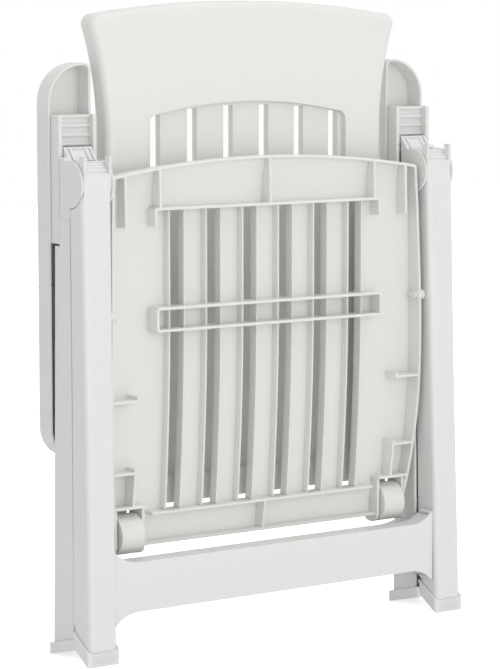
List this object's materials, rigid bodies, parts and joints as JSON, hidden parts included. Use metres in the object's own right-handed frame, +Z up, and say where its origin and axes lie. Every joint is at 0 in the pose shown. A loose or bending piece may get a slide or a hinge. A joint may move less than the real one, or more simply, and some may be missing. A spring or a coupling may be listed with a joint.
{
  "type": "folding reclining garden armchair",
  "caption": "White moulded garden chair, stored folded: slatted seat and reclining slatted back, crossing channel legs on slanted feet, armrests with notched rails.",
  "frame": {"origin": "on the floor, in the middle of the width and of the folded depth", "axes": "+X across the width to the chair's left-hand legs seen from behind, +Y from the seat's underside to the back of the armrests, +Z up, as it stands folded"},
  "size_m": [0.6, 0.125, 0.827],
  "materials": {
    "white_resin": "satin moulded resin",
    "foot_resin": "satin moulded resin",
    "pin_resin": "satin moulded resin"
  },
  "bodies": {
    "apex_pins": {"apex_pin_right": "pin_resin", "apex_pin_left": "pin_resin"},
    "front_frame": {"front_leg_right": "white_resin", "front_leg_left": "white_resin", "front_crossbar": "white_resin", "front_foot_right": "foot_resin", "front_foot_left": "foot_resin", "seat_pin_right": "pin_resin", "seat_pin_left": "pin_resin"},
    "rear_frame": {"rear_leg_right": "white_resin", "rear_leg_left": "white_resin", "rear_crossbar": "white_resin", "rear_foot_right": "foot_resin", "rear_foot_left": "foot_resin"},
    "seat_pan": {"seat": "white_resin"},
    "back": {"backrest": "white_resin"},
    "arm_right": {"armrest_right": "white_resin", "arm_rail_right": "white_resin"},
    "arm_left": {"armrest_left": "white_resin", "arm_rail_left": "white_resin"},
    "hinge_carrier": {"hinge_pins": "pin_resin"},
    "arm_pin_right_body": {"arm_pin_right": "pin_resin"},
    "arm_pin_left_body": {"arm_pin_left": "pin_resin"}
  },
  "joints": [
    {"name": "front_legs_splay", "type": "hinge", "parent": "apex_pins", "child": "front_frame", "pos_m": [0, -0.0132, 0.6], "axis": [-1, 0, 0], "range_deg": [0, 23.2]},
    {"name": "rear_legs_splay", "type": "hinge", "parent": "apex_pins", "child": "rear_frame", "pos_m": [0, -0.0132, 0.6], "axis": [1, 0, 0], "range_deg": [0, 23.2]},
    {"name": "fold", "type": "hinge", "parent": "front_frame", "child": "seat_pan", "pos_m": [0, -0.0305, 0.434], "axis": [1, 0, 0], "range_deg": [0, 105]},
    {"name": "back_unfold", "type": "hinge", "parent": "seat_pan", "child": "hinge_carrier", "pos_m": [0, -0.0005, 0.151], "axis": [-1, 0, 0], "range_deg": [0, 101]},
    {"name": "recline", "type": "hinge", "parent": "hinge_carrier", "child": "back", "pos_m": [0, -0.0005, 0.151], "axis": [-1, 0, 0], "range_deg": [0, 15.5]},
    {"name": "arm_unfold_right", "type": "hinge", "parent": "back", "child": "arm_pin_right_body", "pos_m": [0, 0.0295, 0.34], "axis": [1, 0, 0], "range_deg": [0, 98.8]},
    {"name": "arm_level_right", "type": "hinge", "parent": "arm_pin_right_body", "child": "arm_right", "pos_m": [0, 0.0295, 0.34], "axis": [1, 0, 0], "range_deg": [0, 11.8]},
    {"name": "arm_unfold_left", "type": "hinge", "parent": "back", "child": "arm_pin_left_body", "pos_m": [0, 0.0295, 0.34], "axis": [1, 0, 0], "range_deg": [0, 98.8]},
    {"name": "arm_level_left", "type": "hinge", "parent": "arm_pin_left_body", "child": "arm_left", "pos_m": [0, 0.0295, 0.34], "axis": [1, 0, 0], "range_deg": [0, 11.8]}
  ],
  "couplings": [
    {"joint": "arm_unfold_right", "follows": "fold", "ratio": 0.94095},
    {"joint": "arm_level_right", "follows": "recline", "ratio": 0.7612},
    {"joint": "arm_unfold_left", "follows": "fold", "ratio": 0.94095},
    {"joint": "arm_level_left", "follows": "recline", "ratio": 0.7612},
    {"joint": "front_legs_splay", "follows": "fold", "ratio": 0.22095},
    {"joint": "rear_legs_splay", "follows": "fold", "ratio": 0.22095},
    {"joint": "back_unfold", "follows": "fold", "ratio": 0.9619}
  ]
}
